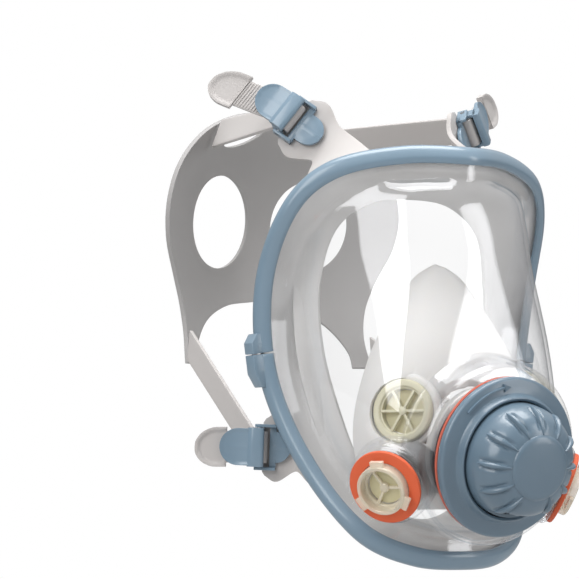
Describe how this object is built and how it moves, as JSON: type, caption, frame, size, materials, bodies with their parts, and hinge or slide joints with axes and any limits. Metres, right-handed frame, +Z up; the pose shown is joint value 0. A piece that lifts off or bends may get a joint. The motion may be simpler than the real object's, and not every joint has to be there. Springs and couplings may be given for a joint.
{
  "type": "full face respirator",
  "caption": "Full-face respirator: a clear visor in a split frame, face seal, nose cup, side bayonet ports, centre exhalation cover, strap buckles and a head cradle.",
  "frame": {"origin": "On the middle plane, where the wearer's face meets the seal, level with the eyes and 60 mm behind the front of the frame's top edge.", "axes": "+X to the wearer's left, -Y ahead out of the visor, +Z up."},
  "size_m": [0.2222, 0.2789, 0.272],
  "materials": {
    "blue": "satin moulded",
    "clear": "clear polished",
    "rubber": "soft matte",
    "silicone": "soft satin",
    "cream": "soft matte",
    "orange": "matte",
    "red": "matte",
    "amber": "clear moulded",
    "grey": "satin moulded",
    "steel": "plain"
  },
  "bodies": {
    "mask": {"face_seal": "rubber", "nose_cup": "silicone", "visor_lens": "clear", "upper_frame": "blue", "lower_frame": "blue", "cover_flange": "blue", "centre_gasket": "red", "centre_adapter": "grey", "exhale_valve_seat": "grey", "nose_valve_seat_left": "silicone", "frame_screw_left": "steel", "frame_nut_left": "steel", "port_gasket_left": "orange", "port_body_left": "amber", "port_ring_left": "grey", "nose_valve_seat_right": "silicone", "frame_screw_right": "steel", "frame_nut_right": "steel", "port_gasket_right": "orange", "port_body_right": "amber", "port_ring_right": "grey", "buckle_bar_upper_left": "steel", "buckle_base_upper_left": "blue", "buckle_stud_upper_left": "steel", "strap_upper_left": "rubber", "buckle_bar_upper_right": "steel", "buckle_base_upper_right": "blue", "buckle_stud_upper_right": "steel", "strap_upper_right": "rubber", "buckle_bar_lower_left": "steel", "buckle_base_lower_left": "blue", "buckle_stud_lower_left": "steel", "strap_lower_left": "rubber", "buckle_bar_lower_right": "steel", "buckle_base_lower_right": "blue", "buckle_stud_lower_right": "steel", "strap_lower_right": "rubber"},
    "harness": {"head_cradle": "rubber"},
    "cover": {"exhale_cover": "blue"},
    "exhale_flap": {"exhale_valve_flap": "cream"},
    "port_flap_left": {"port_valve_left": "cream"},
    "nose_flap_left": {"nose_valve_flap_left": "cream"},
    "port_flap_right": {"port_valve_right": "cream"},
    "nose_flap_right": {"nose_valve_flap_right": "cream"},
    "lever_upper_left": {"buckle_lever_upper_left": "blue"},
    "lever_upper_right": {"buckle_lever_upper_right": "blue"},
    "lever_lower_left": {"buckle_lever_lower_left": "blue"},
    "lever_lower_right": {"buckle_lever_lower_right": "blue"}
  },
  "joints": [
    {"name": "harness_stretch", "type": "slide", "parent": "mask", "child": "harness", "axis": [0, 1, 0], "range_m": [-0.004, 0.03], "stiffness_N_per_m": 150, "deforming": ["strap_upper_left", "strap_upper_right", "strap_lower_left", "strap_lower_right"]},
    {"name": "cover_turn", "type": "hinge", "parent": "mask", "child": "cover", "pos_m": [0, -0.0924, -0.0539], "axis": [0, -0.9781, -0.2079], "range_deg": [0, 30]},
    {"name": "exhale_flap_lift", "type": "slide", "parent": "mask", "child": "exhale_flap", "axis": [0, -0.9781, -0.2079], "range_m": [0, 0.0015], "stiffness_N_per_m": 60},
    {"name": "port_flap_lift_left", "type": "slide", "parent": "mask", "child": "port_flap_left", "axis": [-0.7985, 0.4592, 0.3893], "range_m": [0, 0.0015], "stiffness_N_per_m": 60},
    {"name": "nose_flap_lift_left", "type": "slide", "parent": "mask", "child": "nose_flap_left", "axis": [-0.8617, 0.501, -0.0802], "range_m": [0, 0.0015], "stiffness_N_per_m": 60},
    {"name": "port_flap_lift_right", "type": "slide", "parent": "mask", "child": "port_flap_right", "axis": [0.7985, 0.4592, 0.3893], "range_m": [0, 0.0015], "stiffness_N_per_m": 60},
    {"name": "nose_flap_lift_right", "type": "slide", "parent": "mask", "child": "nose_flap_right", "axis": [0.8617, 0.501, -0.0802], "range_m": [0, 0.0015], "stiffness_N_per_m": 60},
    {"name": "lever_tilt_upper_left", "type": "hinge", "parent": "mask", "child": "lever_upper_left", "pos_m": [0.0607, 0.024, 0.134], "axis": [0.5707, 0.2369, -0.7863], "range_deg": [0, 35]},
    {"name": "lever_tilt_upper_right", "type": "hinge", "parent": "mask", "child": "lever_upper_right", "pos_m": [-0.0607, 0.024, 0.134], "axis": [0.5707, -0.2369, 0.7863], "range_deg": [0, 35]},
    {"name": "lever_tilt_lower_left", "type": "hinge", "parent": "mask", "child": "lever_lower_left", "pos_m": [0.08, 0.025, -0.047], "axis": [0.0015, 0.0646, -0.9979], "range_deg": [0, 35]},
    {"name": "lever_tilt_lower_right", "type": "hinge", "parent": "mask", "child": "lever_lower_right", "pos_m": [-0.08, 0.025, -0.047], "axis": [0.0015, -0.0646, 0.9979], "range_deg": [0, 35]}
  ]
}
